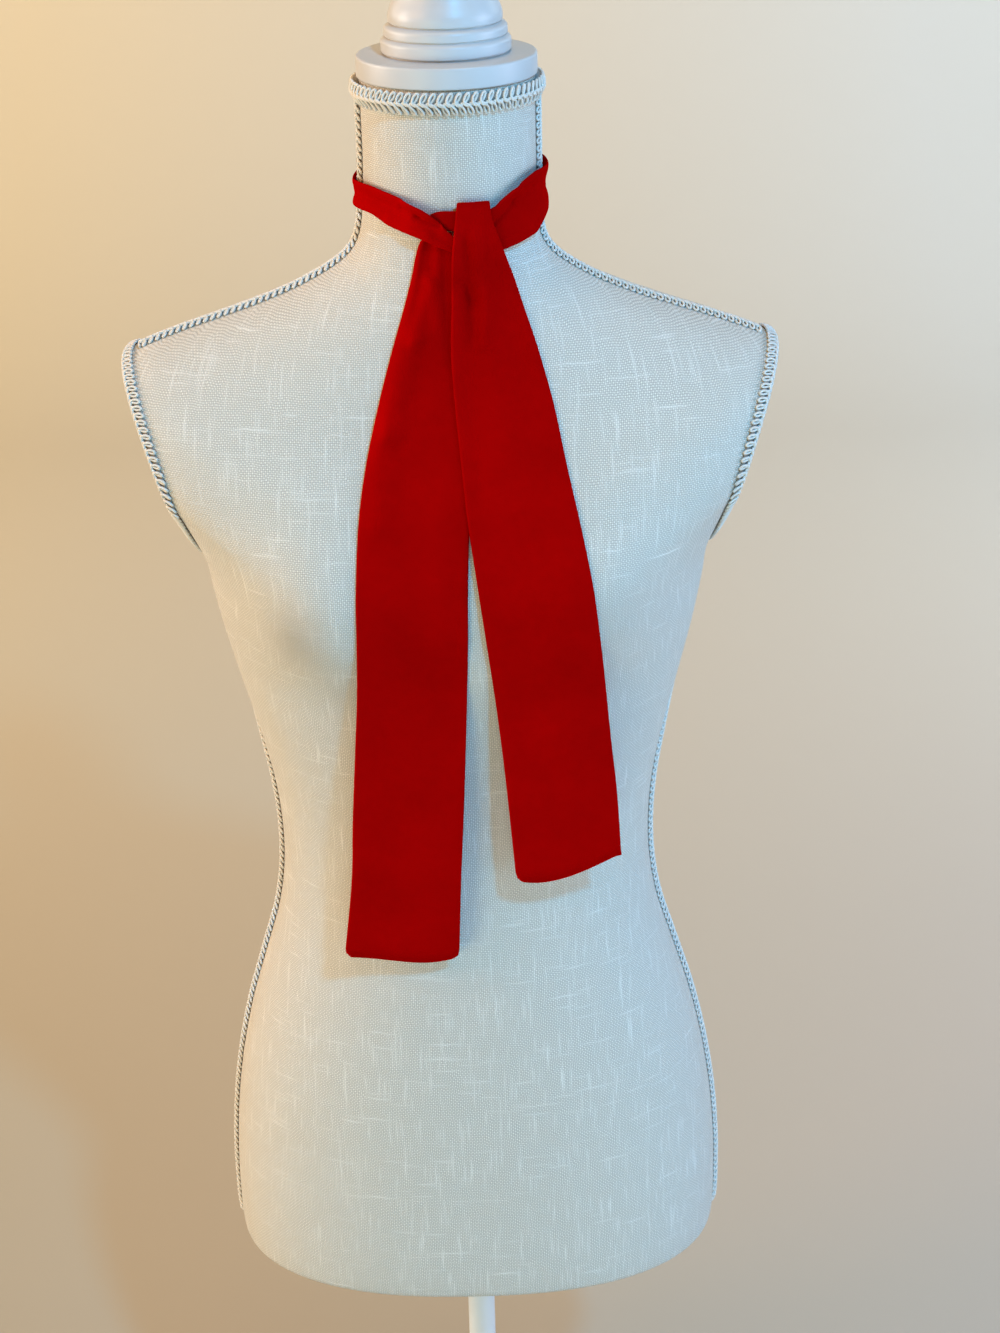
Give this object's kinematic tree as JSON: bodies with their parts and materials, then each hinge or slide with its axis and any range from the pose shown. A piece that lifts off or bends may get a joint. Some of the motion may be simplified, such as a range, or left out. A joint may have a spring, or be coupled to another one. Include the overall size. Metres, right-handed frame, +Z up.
{
  "type": "skinny silk scarf on a limbless dress form",
  "caption": "Narrow pressed silk scarf knotted at the front of the neck, both ends hanging, worn by a linen covered limbless dress form on a short pole and round foot.",
  "frame": {"origin": "middle of the stand foot's flat underside, on the pole's axis", "axes": "+Z up along the pole, the form's front faces -Y, +X is to the right of someone who looks at its front"},
  "size_m": [0.3932, 0.31, 1.1666],
  "materials": {
    "silk": "soft satin, red",
    "linen": "slubbed plain weave linen, off-white",
    "braid": "gimp braid and chain braid, off-white",
    "cap_paint": "gloss white paint on turned wood",
    "stand_paint": "gloss white paint"
  },
  "bodies": {
    "root": {"scarf_band_left": "silk", "scarf_band_right": "silk", "scarf_band_back": "silk", "scarf_tail_left": "silk", "scarf_tail_right": "silk", "form_torso": "linen", "neck_braid": "braid", "armhole_braid_left": "braid", "armhole_braid_right": "braid", "shoulder_cord_left": "braid", "shoulder_cord_right": "braid", "side_cord_left": "braid", "side_cord_right": "braid", "neck_cap": "cap_paint", "pole": "stand_paint", "stand_foot": "stand_paint"}
  },
  "joints": []
}
